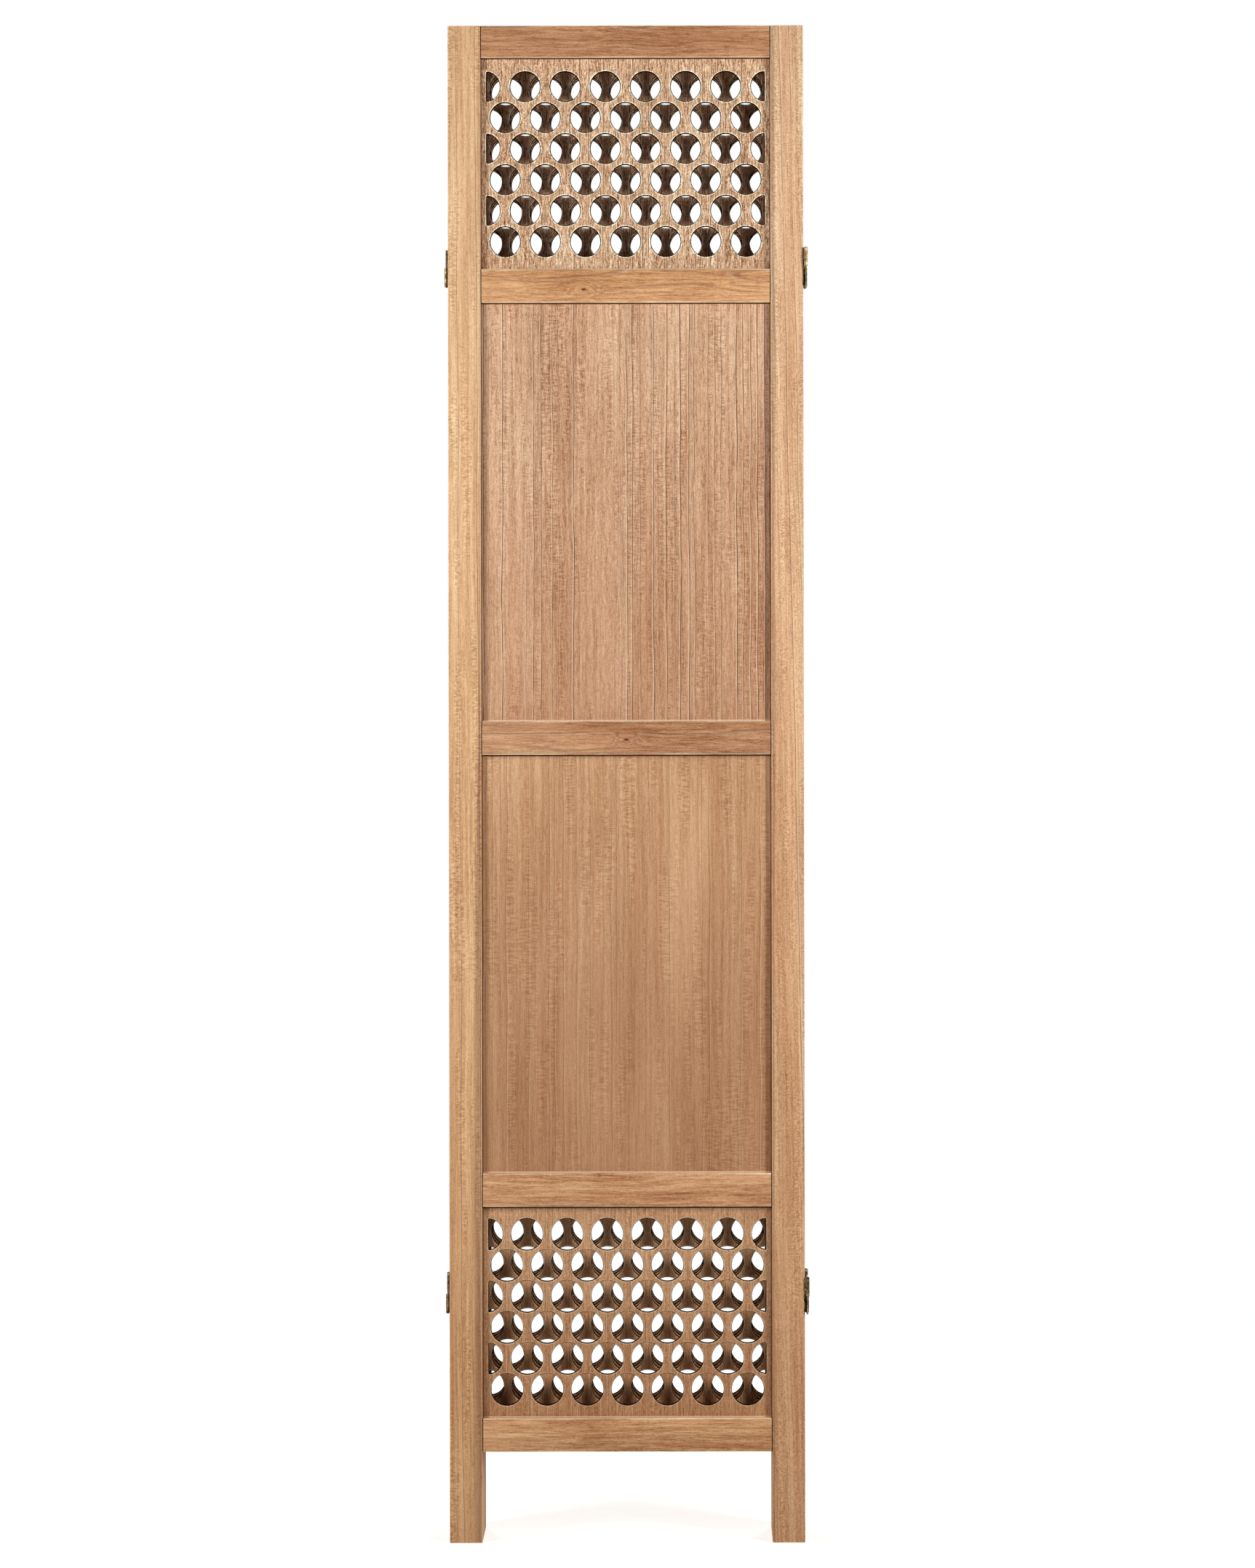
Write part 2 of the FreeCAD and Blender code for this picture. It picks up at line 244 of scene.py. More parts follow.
def join_cutters(cutters):
    """Several cutters, none touching another, as one."""
    clear_selection()
    for cutter in cutters:
        cutter.select_set(True)
    bpy.context.view_layer.objects.active = cutters[0]
    if len(cutters) > 1:
        bpy.ops.object.join()
    return cutters[0]


def remove(piece):
    mesh = piece.data
    bpy.data.objects.remove(piece)
    bpy.data.meshes.remove(mesh)


def cut(piece, cutter, operation="DIFFERENCE"):
    """Cuts a piece with a cutter, or adds the cutter to it, and throws the cutter away."""
    apply_modifier(piece, "BOOLEAN", object=cutter, operation=operation, solver="EXACT")
    remove(cutter)
    if not piece.data.polygons:
        raise RuntimeError(f"cutting {piece.name} left nothing of it")


def ease_edges(piece, width, segments=2):
    """Rounds a piece's sharp edges. The rounded strips take the finish of eased edges."""
    while len(piece.data.materials) <= EASED_FINISH:
        piece.data.materials.append(None)
    apply_modifier(
        piece,
        "BEVEL",
        width=width,
        segments=segments,
        limit_method="ANGLE",
        angle_limit=SHARP_ANGLE,
        miter_outer="MITER_ARC",
        use_clamp_overlap=False,
        material=EASED_FINISH,
    )
    pick(piece)
    bpy.ops.object.shade_smooth_by_angle(angle=SMOOTH_ANGLE)


def copy_of(piece, name, move):
    """A copy with its own mesh, moved within it."""
    twin = piece.copy()
    twin.data = piece.data.copy()
    twin.name = name
    bpy.context.collection.objects.link(twin)
    twin.location = move
    settle(twin)
    return twin


# Finishes

WHITE = (1, 1, 1, 1)

# Where a Mix node keeps its share and its two colours, and its mixed colour
MIX_SHARE, MIX_FIRST, MIX_SECOND, MIX_RESULT = 0, 6, 7, 2


class Finish:
    """The nodes of a material or of the room, added one by one."""

    def __init__(self, owner, output="ShaderNodeOutputMaterial"):
        self.owner = owner
        owner.use_nodes = True
        self.tree = owner.node_tree
        self.tree.nodes.clear()
        self.output = self.add(output)

    def add(self, kind, **values):
        """A new node, with values for its sockets and its settings."""
        node = self.tree.nodes.new(kind)
        for name, value in values.items():
            if name in node.inputs:
                self.feed(node.inputs[name], value)
            else:
                setattr(node, name, value)
        return node

    def feed(self, socket, value):
        """Joins a socket to another node's output, or sets it to a plain value."""
        if isinstance(value, bpy.types.NodeSocket):
            self.tree.links.new(value, socket)
        elif socket.type == "RGBA":
            socket.default_value = (*value[:3], 1)
        else:
            socket.default_value = value

    def place(self):
        return self.add("ShaderNodeTexCoord").outputs["Object"]

    def axes(self, place):
        return self.add("ShaderNodeSeparateXYZ", Vector=place).outputs

    def moved(self, place, move, turn, size=(1, 1, 1)):
        """A place that is scaled, turned and then moved."""
        node = self.add("ShaderNodeMapping", Vector=place, Location=move, Rotation=turn, Scale=size)
        return node.outputs["Vector"]

    def end_with(self, kind, **values):
        """Adds the last shader, and returns what the nodes belong to."""
        self.feed(self.output.inputs["Surface"], self.add(kind, **values).outputs[0])
        return self.owner

    def math(self, operation, *values, clamp=False):
        node = self.add("ShaderNodeMath", operation=operation, use_clamp=clamp)
        for socket, value in zip(node.inputs, values):
            self.feed(socket, value)
        return node.outputs[0]

    def vector(self, operation, first, second=(0, 0, 0)):
        node = self.add("ShaderNodeVectorMath", operation=operation)
        self.feed(node.inputs[0], first)
        self.feed(node.inputs["Scale" if operation == "SCALE" else 1], second)
        return node.outputs["Value" if operation == "LENGTH" else "Vector"]

    def step(self, value, low, high, to_low=0.0, to_high=1.0):
        """Rises smoothly from to_low to to_high as the value goes from low to high."""
        node = self.add("ShaderNodeMapRange", interpolation_type="SMOOTHSTEP")
        for socket, number in zip(node.inputs, (value, low, high, to_low, to_high)):
            self.feed(socket, number)
        return node.outputs["Result"]

    def noise(self, place, size, detail=2.0):
        """A random pattern, whose spots are about this big along each axis."""
        in_spots = self.vector("MULTIPLY", place, [1 / part for part in size])
        return self.add("ShaderNodeTexNoise", Vector=in_spots, Scale=1.0, Detail=detail)

    def spots(self, place, size, low=0.3, high=0.7, detail=2.0):
        """The same pattern, spread out from 0 to 1."""
        return self.step(self.noise(place, size, detail).outputs["Fac"], low, high)

    def blend(self, share, first, second):
        """The first colour, moved towards the second by a share."""
        node = self.add("ShaderNodeMix", data_type="RGBA")
        for index, value in ((MIX_SHARE, share), (MIX_FIRST, first), (MIX_SECOND, second)):
            self.feed(node.inputs[index], value)
        return node.outputs[MIX_RESULT]

    def ramp(self, value, stops):
        """A colour for each value, through stops of a place and a colour."""
        node = self.add("ShaderNodeValToRGB", Fac=value)
        elements = node.color_ramp.elements
        while len(elements) < len(stops):
            elements.new(0.5)
        for element, (place, shade) in zip(elements, stops):
            element.position = place
            element.color = (*shade[:3], 1)
        return node.outputs["Color"]

    def bumps(self, height, distance, strength=0.5):
        node = self.add("ShaderNodeBump", Height=height, Distance=distance, Strength=strength)
        return node.outputs["Normal"]

    def grain_place(self, along, centre):
        """Millimetres from a piece's middle, turned so that x runs across its face and z along its grain."""
        turn = {"X": (0, -math.pi / 2, 0), "Z": (0, 0, 0)}[along]
        x, y, z = centre
        across, along_grain = (-z, x) if along == "X" else (x, z)
        to_middle = (-across / MM, -y / MM, -along_grain / MM)
        return self.moved(self.place(), to_middle, turn, (1 / MM,) * 3)


# Pin knots in the rails: millimetres from the rail's middle, upwards and to the right
PIN_KNOTS = {"panel_1_upper_rail": (4, -47), "panel_1_middle_rail": (2, 0), "panel_3_lower_rail": (-6, 61)}

# How each kind of piece is sawn and how its grain looks, in millimetres, with sizes across and along the
# grain. Heart is where the tree's middle lies beside the piece, and lean is the slope of the grain. Ring is
# from year line to year line, uneven is how far a line strays, rare is the share of years without a line and
# wander is how far the grain sways. Ladder is for the flecks of the rays. Contrast and stripe are given for
# the screen's foot and head. Ruddy and golden are factors of the piece's colour, and foot is the factor by
# which it darkens towards its lower end, as painted shade. The share for eased edges is how pale they are,
# as sanded wood with a painted highlight. The other single numbers are strengths.
LEFT_STILE = dict(
    heart=(-95, -70), lean=0.004, ring=9.0, uneven=2.0, wander=(2.5, 30, 200),
    line=0.60, line_width=0.4, rare=0.05, pale=0.25, band=1.0, band_size=(12, 600),
    streak=0.20, streak_size=(2.6, 160), fibre=0.16, fibre_size=(0.8, 24), speckle=0.18,
    ladder=0.24, ladder_size=(4.0, 1.4), pore=0.14, cloud=0.12, contrast=(1.35, 1.35),
    ruddy=(0.95, 0.86, 0.80), golden=(1.06, 1.08, 1.06), foot=(0.98, 0.92, 0.85),
    stripe=(11, 2), worn_and_highlit=0.15,
)
RIGHT_STILE = dict(
    LEFT_STILE, heart=(-60, -45), lean=0.020, ring=8.0, uneven=1.8, rare=0.0, pale=0.35,
    speckle=0.30, contrast=(1.30, 1.30), foot=(0.86, 0.74, 0.64), stripe=(3, 6),
)
RAIL = dict(
    heart=(-24, -40), lean=0.0, ring=3.6, uneven=2.4, wander=(8.0, 45, 150),
    line=0.46, line_width=0.2, rare=0.0, pale=0.12, band=0.9, band_size=(14, 130),
    streak=0.36, streak_size=(2.4, 60), fibre=0.30, fibre_size=(0.8, 14), speckle=0.22,
    ladder=0.0, ladder_size=(4.0, 1.5), pore=0.20, cloud=0.34, contrast=(1.20, 1.15),
    ruddy=(0.94, 0.87, 0.82), golden=(1.06, 1.08, 1.06), foot=None, worn_and_highlit=0.45,
)
LOW_RAIL = dict(RAIL, line=0.24, ring=3.4, wander=(5.0, 45, 260))
UPPER_BOARD = dict(
    heart=(-420, -150), lean=0.0, ring=7.0, uneven=1.6, wander=(2.2, 25, 120),
    line=1.0, line_width=0.5, rare=0.15, pale=0.50, band=0.8, band_size=(15, 420),
    streak=0.24, streak_size=(3.0, 160), fibre=0.26, fibre_size=(0.8, 14), speckle=0.26,
    ladder=0.22, ladder_size=(7.0, 1.4), pore=0.22, cloud=0.20, contrast=(0.80, 1.45),
    ruddy=(0.97, 0.92, 0.89), golden=(1.04, 1.06, 1.09), foot=(0.885, 0.80, 0.745), worn_and_highlit=None,
)
LOWER_BOARD = dict(
    UPPER_BOARD, line=0.35, rare=0.20, pale=0.15, fibre=0.22, speckle=0.22, ladder=0.26,
    pore=0.12, cloud=0.28, contrast=(0.85, 1.40), foot=(0.79, 0.705, 0.67),
)
JALI_BOARD = dict(
    UPPER_BOARD, ring=8.0, uneven=1.8, wander=(2.2, 25, 160), line=0.95, line_width=0.45,
    rare=0.0, pale=0.45, band_size=(18, 260), streak_size=(3.0, 90), fibre=0.75,
    fibre_size=(0.9, 9), speckle=0.60, ladder=0.14, ladder_size=(5.0, 1.3), pore=0.40,
    cloud=0.10, contrast=(1.0, 1.25), ruddy=(0.97, 0.92, 0.90), golden=(1.05, 1.07, 1.10),
    foot=None, worn_and_highlit=1.0,
)
# Painted shade: the rims of top boards behind the front panel are less pale
SHADED_REAR_JALI_BOARD = dict(JALI_BOARD, worn_and_highlit=0.5)
LOW_JALI_BOARD = dict(
    JALI_BOARD, line=0.40, pale=0.25, fibre=0.40, speckle=0.42, pore=0.16,
    foot=(0.80, 0.71, 0.65), worn_and_highlit=0.6,
)

# Year lines: where in a year they start, how soft they are, over how many rings their spacing changes, what
# brings that change to its full reach, the year at the heart, how faint years fade, and what breaks lines up
LINE_START = 0.70
LINE_SOFTNESS = 0.35
UNEVEN_REACH = 2.2
UNEVEN_SPREAD = 4
FIRST_YEAR = 31.0
RARE_FADE = 0.7
BREAK_SIZE = (2, 2, 30)
BREAK_RANGE = (0.25, 0.48)


def year_rings(finish, grain, look):
    """The dark line that ends each year's growth and the pale one beside it, each from 0 to 1."""
    ring = look["ring"]
    radius = finish.vector("LENGTH", finish.vector("MULTIPLY", grain, (1, 1, 0)))
    in_rings = finish.math("DIVIDE", radius, UNEVEN_REACH * ring)
    uneven = finish.add("ShaderNodeTexNoise", noise_dimensions="1D", W=in_rings, Scale=1.0, Detail=1.0)
    stray = UNEVEN_SPREAD * look["uneven"] / ring
    rings = finish.math("MULTIPLY_ADD", uneven.outputs["Fac"], stray, FIRST_YEAR)
    rings = finish.math("ADD", rings, finish.math("DIVIDE", radius, ring))
    within = finish.math("FRACT", rings)
    year = finish.add("ShaderNodeTexWhiteNoise", noise_dimensions="1D", W=finish.math("FLOOR", rings))
    boldness = finish.step(year.outputs["Value"], look["rare"], look["rare"] + RARE_FADE)
    boldness = finish.math("MULTIPLY", boldness, finish.spots(grain, BREAK_SIZE, *BREAK_RANGE))
    soft = LINE_SOFTNESS / ring
    thick = look["line_width"] / ring
    lines = []
    for start in (LINE_START, LINE_START + thick + soft / 2):
        end = start + thick
        rise = finish.step(within, start - soft, start)
        fall = finish.step(within, end, end + soft, 1.0, 0.0)
        lines.append(finish.math("MULTIPLY", finish.math("MULTIPLY", rise, fall), boldness))
    return lines


# Where a board meets the frame: from where to where each line fades, and how strong it is. The lines are
# painted shade beside the stiles over a dark stain, the rail's painted shadow over the narrow gap under it,
# and a painted highlight at the board's foot. The gap and its painted shadow under a rail are narrower at the
# head of the screen than at its foot.
SIDE_SHADE_AND_STAIN = (0.6 * MM, 2.4 * MM, 0.75)
FOOT_HIGHLIGHT = (0.8 * MM, 2.0 * MM, 0.55)
GAP_AND_SHADOW_STRENGTH = 0.92
GAP_AND_SHADOW_START_SHARE = 0.6
GAP_AND_SHADOW_AT_FLOOR = 3.3 * MM
GAP_AND_SHADOW_LOSS_PER_METRE = 1.2 * MM
SHADE_AND_STAIN_WANDER = 2.4 * MM
SHADE_AND_STAIN_WANDER_SIZE = (0.01, 0.01, 0.12)


def paint_frame_shade_and_highlight(finish, body, opening, stain_and_shade, cream):
    """Paints shade on a board at the stiles over a dark stain, paints the rail's shadow over the dark gap
    under it, and paints a highlight at the board's foot.
    """
    gap = bpy.context.scene.screen_wood.gap
    left, right, below, above = opening
    place = finish.place()
    here = finish.axes(place)
    wander = finish.noise(place, SHADE_AND_STAIN_WANDER_SIZE).outputs["Fac"]
    wander = finish.math("MULTIPLY_ADD", wander, SHADE_AND_STAIN_WANDER, -SHADE_AND_STAIN_WANDER / 2)

    from_left = finish.math("ADD", finish.math("SUBTRACT", here["X"], left), wander)
    from_right = finish.math("ADD", finish.math("SUBTRACT", right, here["X"]), wander)
    # Painted shade beside the stiles, over a dark stain
    shade_at_sides = finish.step(finish.math("MINIMUM", from_left, from_right), *SIDE_SHADE_AND_STAIN, 0.0)
    gap_and_shadow_end = GAP_AND_SHADOW_AT_FLOOR - GAP_AND_SHADOW_LOSS_PER_METRE * above
    from_rail = finish.math("SUBTRACT", above, here["Z"])
    # The rail's painted shadow, over the dark gap under it
    shadow_under_rail = finish.step(from_rail, GAP_AND_SHADOW_START_SHARE * gap_and_shadow_end, gap_and_shadow_end, GAP_AND_SHADOW_STRENGTH, 0.0)
    # Painted highlight along the board's foot
    at_foot = finish.step(finish.math("SUBTRACT", here["Z"], below), *FOOT_HIGHLIGHT, 0.0)
    body = finish.blend(at_foot, body, cream)
    body = finish.blend(shade_at_sides, body, stain_and_shade)
    return finish.blend(shadow_under_rail, body, gap)


# The stripe along a stile's inner edge: the heights between which its width changes, and how it fades
STRIPE_HEIGHTS = (0.45, 1.15)
STRIPE_WANDER_SIZE = (0.05, 0.05, 0.25)
STRIPE_FADE = (0.50, 1.05, 0.38)


def stain_at_edge(finish, body, edge, widths, stain_and_shade):
    """A soft stripe of darker heartwood along a stile's inner edge, as wide as given at its foot and head."""
    place = finish.place()
    here = finish.axes(place)
    at_foot, at_head = [width * MM for width in widths]
    away = finish.math("ABSOLUTE", finish.math("SUBTRACT", here["X"], edge))
    reach = finish.step(here["Z"], *STRIPE_HEIGHTS, at_foot, at_head)
    uneven = finish.noise(place, STRIPE_WANDER_SIZE, detail=1.0).outputs["Fac"]
    inside = finish.math("DIVIDE", away, finish.math("MULTIPLY", reach, finish.math("ADD", uneven, 0.5)))
    return finish.blend(finish.step(inside, *STRIPE_FADE, 0.0), body, stain_and_shade)


# A pin knot, in millimetres: how far the grain swirls round it, and from where to where its dark core fades
KNOT_REACH = 11.0
KNOT_CORE = (0.7, 2.0)
KNOT_STRETCH = 0.45
KNOT_SWIRL = (9.0, 9.0, 0.0)


def knot_at(finish, place, knot):
    """How near a point is to a pin knot, from 1 at its middle to 0 well away, and its dark core."""
    across, along = knot
    away = finish.vector("SUBTRACT", place, (across, 0, along))
    away = finish.vector("LENGTH", finish.vector("MULTIPLY", away, (1, 0, KNOT_STRETCH)))
    return finish.step(away, 0.0, KNOT_REACH, 1.0, 0.0), finish.step(away, *KNOT_CORE, 1.0, 0.0)


# Patterns that all the wood has, in millimetres across and along the grain
PORE_SIZE = (0.6, 7.0)
PORE_RANGE = (0.60, 0.72)
SPECKLE_SIZE = (0.9, 1.8)
CLOUD_SIZE = (60, 260)
LADDER_RANGE = (0.35, 0.65)
LADDER_PATCH_SIZE = (11, 150)
LADDER_PATCH_RANGE = (0.50, 0.62)

# The heights between which the contrast changes, the least light that patterns leave, how they change red,
# green and blue, and how rough, glossy and deep the grain is
CONTRAST_HEIGHTS = (0.55, 1.35)
DARKEST = 0.15
CHANNEL_POWERS = (0.80, 1.12, 1.40)
ROUGHNESS = (0.66, 0.50)
GLOSS = 0.15
GRAIN_DEPTH = 0.10 * MM

# What sets the grain of one piece apart from that of the next, in millimetres
SHIFT_REACH = 6.0
SHIFT_TURN = 1.7
PIECE_SPACING = 977.0


def wood(name, look, along, box, number, shades, opening=None, inner_edge=None, knot=None):
    """Oiled hardwood: two shades in bands, year rings, streaks, fibres, pores and the flecks of the rays;
    where given, painted shade towards its foot and painted shade, shadow and highlight where a board meets
    the frame.
    """
    finish = Finish(bpy.data.materials.new(name))
    low, high = box
    centre = (low + high) / 2
    heart_x, heart_y = look["heart"]
    hand = -1 if number % 2 else 1
    shift = SHIFT_REACH * math.sin(number * SHIFT_TURN)
    middle = finish.grain_place(along, centre)
    from_heart = (hand * heart_x + shift, heart_y - shift, PIECE_SPACING * number)
    place = finish.moved(middle, from_heart, (0, math.atan(look["lean"]), 0))

    wander, wander_across, wander_along = look["wander"]
    sway = finish.noise(place, (wander_across, wander_across, wander_along), detail=1.0).outputs["Color"]
    sway = finish.vector("SUBTRACT", sway, (0.5, 0.5, 0.5))
    sway = finish.vector("MULTIPLY", sway, (2 * wander, 2 * wander, 0.0))
    grain = finish.vector("ADD", place, sway)
    if knot:
        swirl, core = knot_at(finish, middle, knot)
        grain = finish.vector("ADD", grain, finish.vector("SCALE", KNOT_SWIRL, swirl))
    dark, pale = year_rings(finish, grain, look)

    def spread(size, *levels, **settings):
        across, length_along = size
        return finish.spots(grain, (across, across, length_along), *levels, **settings)

    fibre = spread(look["fibre_size"])
    pore = spread(PORE_SIZE, *PORE_RANGE, detail=0.0)
    ladder = finish.math("SUBTRACT", spread(look["ladder_size"], *LADDER_RANGE, detail=0.0), 0.5)
    patches = spread(LADDER_PATCH_SIZE, *LADDER_PATCH_RANGE, detail=1.0)
    ladder = finish.math("MULTIPLY", ladder, patches)
    lift = finish.math("MULTIPLY_ADD", ladder, look["ladder"], 1.0)
    for layer, amount in (
        (spread(look["streak_size"]), look["streak"]),
        (fibre, look["fibre"]),
        (spread(SPECKLE_SIZE, detail=1.0), look["speckle"]),
        (spread(CLOUD_SIZE, detail=1.0), look["cloud"]),
    ):
        lift = finish.math("ADD", lift, finish.math("MULTIPLY_ADD", layer, amount, -amount / 2))
    lift = finish.math("MULTIPLY_ADD", pore, -look["pore"], lift)
    here = finish.axes(finish.place())
    contrast = finish.step(here["Z"], *CONTRAST_HEIGHTS, *look["contrast"])
    lift = finish.math("MULTIPLY_ADD", finish.math("SUBTRACT", lift, 1.0), contrast, 1.0)
    lift = finish.math("MAXIMUM", lift, DARKEST)
    tint = finish.add("ShaderNodeCombineXYZ")
    for socket, channel_power in zip(tint.inputs, CHANNEL_POWERS):
        finish.feed(socket, finish.math("POWER", lift, channel_power))

    first, second, deep, cream, stain_and_shade = shades
    body = finish.blend(finish.math("MULTIPLY", spread(look["band_size"]), look["band"]), first, second)
    body = finish.vector("MULTIPLY", body, tint.outputs[0])
    # Painted shade: the piece darkens towards its lower end, where less light falls
    if look["foot"]:
        to_foot = finish.step(here["Z"], low.z, high.z, 1.0, 0.0)
        body = finish.vector("MULTIPLY", body, finish.blend(to_foot, (1.0, 1.0, 1.0), look["foot"]))
    body = finish.blend(finish.math("MULTIPLY", dark, look["line"]), body, deep)
    body = finish.blend(finish.math("MULTIPLY", pale, look["pale"]), body, cream)
    # Painted shade, shadow and highlight where the board meets the frame
    if opening:
        body = paint_frame_shade_and_highlight(finish, body, opening, stain_and_shade, cream)
    if inner_edge is not None:
        body = stain_at_edge(finish, body, inner_edge, look["stripe"], stain_and_shade)
    if knot:
        body = finish.blend(core, body, stain_and_shade)

    roughness = finish.step(fibre, 0.0, 1.0, *ROUGHNESS)
    height = finish.math("SUBTRACT", fibre, finish.math("ADD", pore, dark))
    normal = finish.bumps(height, GRAIN_DEPTH)
    values = {"Base Color": body, "Roughness": roughness, "Specular IOR Level": GLOSS, "Normal": normal}
    return finish.end_with("ShaderNodeBsdfPrincipled", **values)


# Brass: its patches and brush marks and how much of each shows, the tones at which it is tarnished, plain or
# bright, how much paler the bright parts are, and between which tones its roughness falls from what to what
TARNISH_PATCH = (4 * MM, 4 * MM, 4 * MM)
TARNISH_SHARE = 0.8
BRUSH_MARK = (0.2 * MM, 0.2 * MM, 3 * MM)
BRUSH_SHARE = 0.35
BRUSH_DEPTH = 0.03 * MM
BRUSH_STRENGTH = 0.3
BRASS_TONES = (0.42, 0.62, 0.85)
BRIGHT_SHARE = 0.25
BRASS_ROUGHNESS = (0.3, 0.8, 0.42, 0.24)


def brass(name, colours):
    """Lacquered brass, a little tarnished in patches, with fine brushing."""
    finish = Finish(bpy.data.materials.new(name))
    place = finish.place()
    patches = finish.noise(place, TARNISH_PATCH, detail=3.0).outputs["Fac"]
    scratches = finish.noise(place, BRUSH_MARK).outputs["Fac"]
    patches = finish.math("MULTIPLY", patches, TARNISH_SHARE)
    tone = finish.math("MULTIPLY_ADD", scratches, BRUSH_SHARE, patches)
    bright = tuple(value + (1 - value) * BRIGHT_SHARE for value in colours.brass)
    stops = tuple(zip(BRASS_TONES, (colours.tarnish, colours.brass, bright)))
    values = {
        "Base Color": finish.ramp(tone, stops),
        "Metallic": 1.0,
        "Roughness": finish.step(tone, *BRASS_ROUGHNESS),
        "Normal": finish.bumps(scratches, BRUSH_DEPTH, BRUSH_STRENGTH),
    }
    return finish.end_with("ShaderNodeBsdfPrincipled", **values)


# The scorch marks in a cut wall, and by how much the wood is darker or paler at each end of their range
SCORCH_MARK = (1 * MM, 5 * MM, 1 * MM)
SCORCH_STOPS = ((0.3, 0.6), (0.7, 1.6))


def dark_wall_and_shade(name, colours):
    """The dark wall of a hole, scorched a little by the cutter and darkened as painted shade; also the dark
    joint at a rail's end.
    """
    finish = Finish(bpy.data.materials.new(name))
    burn = finish.noise(finish.place(), SCORCH_MARK).outputs["Fac"]
    stops = [(place, [factor * value for value in colours.dark_wall_and_shade]) for place, factor in SCORCH_STOPS]
    values = {"Base Color": finish.ramp(burn, stops), "Roughness": 1.0, "Specular IOR Level": 0.0}
    return finish.end_with("ShaderNodeBsdfPrincipled", **values)


def dress(piece, *materials):
    """Gives a piece its finishes. Each face keeps the number of the finish that it takes."""
    slots = piece.data.materials
    while len(slots) < len(materials):
        slots.append(None)
    for index, material in enumerate(materials):
        slots[index] = material


def piece_number(node):
    """A number for each wooden node, the same each run, which sets its grain apart."""
    return sorted(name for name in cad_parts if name.startswith("panel")).index(node) + 1


def wood_finishes(node, look, along, shade, **places):
    """The wood of a piece and, if it has eased edges, the same wood worn paler and painted with a highlight
    for them.
    """
    colours = bpy.context.scene.screen_wood
    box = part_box(node)
    number = piece_number(node)
    cream, stain_and_shade = colours.worn_edge, colours.stain_and_shade
    ruddy, golden = [tuple(a * b for a, b in zip(shade, look[name])) for name in ("ruddy", "golden")]
    shades = (ruddy, golden, colours.heartwood, cream, stain_and_shade)
    finishes = [wood(f"{node}_wood", look, along, box, number, shades, **places)]
    if look["worn_and_highlit"] is not None:
        tones = (ruddy, golden, shade)
        # Eased edges made paler: sanded wood and a painted highlight
        worn_and_highlit = [tuple(a + (b - a) * look["worn_and_highlit"] for a, b in zip(tone, cream)) for tone in tones]
        finishes.append(wood(f"{node}_edge", look, along, box, number, (*worn_and_highlit, cream, stain_and_shade)))
    return finishes


# The rail above and the rail below each board
RAILS_ROUND = {
    "top_jali": ("top", "upper"), "upper_board": ("upper", "middle"),
    "lower_board": ("middle", "lower"), "bottom_jali": ("lower", "bottom"),
}


def opening_of(panel, board):
    """The left, right, lower and upper edges of the opening that a board fills."""
    rail_above, rail_below = RAILS_ROUND[board]
    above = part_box(f"panel_{panel}_{rail_above}_rail")[0].z
    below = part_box(f"panel_{panel}_{rail_below}_rail")[1].z
    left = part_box(f"panel_{panel}_left_stile")[1].x
    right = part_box(f"panel_{panel}_right_stile")[0].x
    return left, right, below, above


def stand_for(piece, node, body):
    """Puts a piece on its body, in the place of the frame's own node."""
    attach(piece, body)
    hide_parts(node)


# Pieces


def leaf_boxes(panel, side):
    """The corners of each hinge leaf on one edge of a panel, without its knuckle."""
    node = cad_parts.get(f"panel_{panel}_{side}_leaves")
    if node is None:
        return []
    stile_low, stile_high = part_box(f"panel_{panel}_{side}_stile")
    inside = [v.co for v in node.data.vertices if stile_low.x <= v.co.x <= stile_high.x]
    middle = (min(p.z for p in inside) + max(p.z for p in inside)) / 2
    boxes = []
    for group in ([p for p in inside if p.z < middle], [p for p in inside if p.z > middle]):
        low = Vector([min(p[axis] for p in group) for axis in range(3)])
        high = Vector([max(p[axis] for p in group) for axis in range(3)])
        boxes.append((low, high))
    return boxes


def make_stile(panel, side):
    """A stile with its groove and hinge recesses."""
    sizes = bpy.context.scene.screen_sizes
    node = f"panel_{panel}_{side}_stile"
    low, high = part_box(node)
    outward = -1 if side == "left" else 1
    inner = low.x if outward > 0 else high.x
    outer = high.x if outward > 0 else low.x
    board_low, board_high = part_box(f"panel_{panel}_upper_board")
    rail_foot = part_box(f"panel_{panel}_bottom_rail")[0].z
    piece = bar(f"{node}_wood", low, high)
    groove = bar(
        "groove",
        (inner - sizes.groove_depth, board_low.y - sizes.board_play, rail_foot + sizes.groove_stop),
        (inner + sizes.groove_depth, board_high.y + sizes.board_play, high.z - sizes.groove_stop),
    )
    cutters = [groove]
    for leaf_low, leaf_high in leaf_boxes(panel, side):
        play = sizes.recess_play
        inside = leaf_low.x if outward > 0 else leaf_high.x
        outside = outer + outward * sizes.groove_depth
        cutters.append(
            bar(
                "recess",
                (min(inside, outside), low.y - sizes.groove_depth, leaf_low.z - play),
                (max(inside, outside), leaf_high.y + play, leaf_high.z + play),
            )
        )
    cut(piece, join_cutters(cutters))
    return piece


